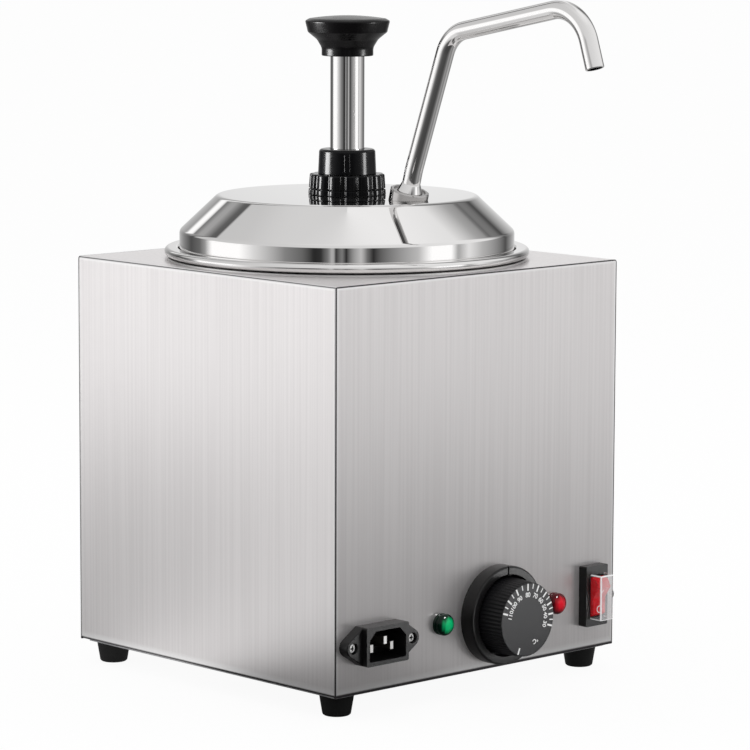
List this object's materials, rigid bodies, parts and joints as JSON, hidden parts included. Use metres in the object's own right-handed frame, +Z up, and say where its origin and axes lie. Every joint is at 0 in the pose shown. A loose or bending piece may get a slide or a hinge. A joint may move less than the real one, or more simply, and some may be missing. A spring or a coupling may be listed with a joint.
{
  "type": "hot topping warmer",
  "caption": "Counter-top warmer: a square steel casing with a water bath, a lift-out pot, a domed lid and a hand pump with a bent spout.",
  "frame": {"origin": "centre of the square casing's footprint, on the plane that the feet stand on", "axes": "+Z up, -Y out of the control panel and along the spout, +X to the right of someone facing the panel"},
  "size_m": [0.2056, 0.2887, 0.3615],
  "materials": {
    "stainless_brushed": "brushed",
    "stainless_polished": "polished",
    "stainless_satin": "satin",
    "aluminised_steel": "satin",
    "zinc_steel": "satin",
    "black_gloss_plastic": "gloss",
    "black_satin_plastic": "satin",
    "black_rubber": "matte",
    "silicone": "matte",
    "green_lens": "gloss",
    "red_lens": "gloss",
    "red_plastic": "gloss",
    "clear_plastic": "gloss",
    "brass": "satin",
    "copper_plated": "satin",
    "phenolic": "matte",
    "white_plastic": "satin",
    "pump_plastic": "satin",
    "wire_brown": "satin",
    "wire_blue": "satin",
    "wire_green": "satin"
  },
  "bodies": {
    "casing": {"casing_wrap": "stainless_brushed", "front_panel": "stainless_brushed", "back_panel": "stainless_brushed", "bottom_plate": "aluminised_steel", "casing_screws": "stainless_satin", "foot_screws": "zinc_steel", "m4_nuts": "zinc_steel", "m3_nuts": "zinc_steel", "foot_front_left": "black_rubber", "foot_front_right": "black_rubber", "foot_rear_left": "black_rubber", "foot_rear_right": "black_rubber", "earth_screw": "black_satin_plastic", "earth_tag": "brass", "water_tank": "stainless_polished", "heating_element": "stainless_satin", "heater_washers": "silicone", "heater_nuts": "brass", "overheat_cutout": "phenolic", "cutout_bracket": "aluminised_steel", "thermostat_body": "phenolic", "thermostat_capillary": "copper_plated", "bulb_clips": "stainless_satin", "thermostat_bezel": "black_gloss_plastic", "thermostat_screws": "zinc_steel", "lamp_bodies": "white_plastic", "lamp_nuts": "white_plastic", "power_lamp_lens": "green_lens", "heating_lamp_lens": "red_lens", "switch_housing": "black_gloss_plastic", "switch_cover": "clear_plastic", "inlet_housing": "black_gloss_plastic", "inlet_pins": "brass", "inlet_screws": "zinc_steel", "blade_terminals": "brass", "live_wires": "wire_brown", "neutral_wires": "wire_blue", "earth_wire": "wire_green"},
    "knob": {"temperature_knob": "black_satin_plastic", "thermostat_spindle": "zinc_steel"},
    "rocker": {"switch_rocker": "red_plastic"},
    "pot": {"food_pot": "stainless_polished"},
    "lid_and_pump": {"lid": "stainless_polished", "pump_cylinder": "stainless_satin", "pump_gasket": "silicone", "pump_nut": "black_gloss_plastic", "pump_collar": "black_gloss_plastic", "valve_body": "pump_plastic", "riser_tube": "stainless_satin", "spout_seal": "silicone", "spout_nut": "stainless_polished", "spout_tube": "stainless_polished", "return_spring": "stainless_satin"},
    "plunger": {"plunger_tube": "stainless_polished", "press_knob": "black_satin_plastic", "piston": "pump_plastic", "piston_seals": "silicone"},
    "intake_valve": {"intake_ball": "stainless_polished"},
    "discharge_valve": {"discharge_ball": "stainless_polished"}
  },
  "joints": [
    {"name": "temperature_knob_turn", "type": "hinge", "parent": "casing", "child": "knob", "pos_m": [0.013, -0.11, 0.0404], "axis": [0, 1, 0], "range_deg": [-202, 73]},
    {"name": "power_switch_rock", "type": "hinge", "parent": "casing", "child": "rocker", "pos_m": [0.0835, -0.1046, 0.0414], "axis": [-1, 0, 0], "range_deg": [0, 20]},
    {"name": "pot_lift", "type": "slide", "parent": "casing", "child": "pot", "axis": [0, 0, 1], "range_m": [0, 0.15]},
    {"name": "lid_lift", "type": "slide", "parent": "pot", "child": "lid_and_pump", "axis": [0, 0, 1], "range_m": [0, 0.15]},
    {"name": "pump_stroke", "type": "slide", "parent": "lid_and_pump", "child": "plunger", "axis": [0, 0, -1], "range_m": [0, 0.048], "stiffness_N_per_m": 400, "springref_m": -0.02, "deforming": ["return_spring"]},
    {"name": "intake_valve_lift", "type": "slide", "parent": "lid_and_pump", "child": "intake_valve", "axis": [0, 0, 1], "range_m": [0, 0.004]},
    {"name": "discharge_valve_lift", "type": "slide", "parent": "lid_and_pump", "child": "discharge_valve", "axis": [0, 0, 1], "range_m": [0, 0.0034]}
  ]
}
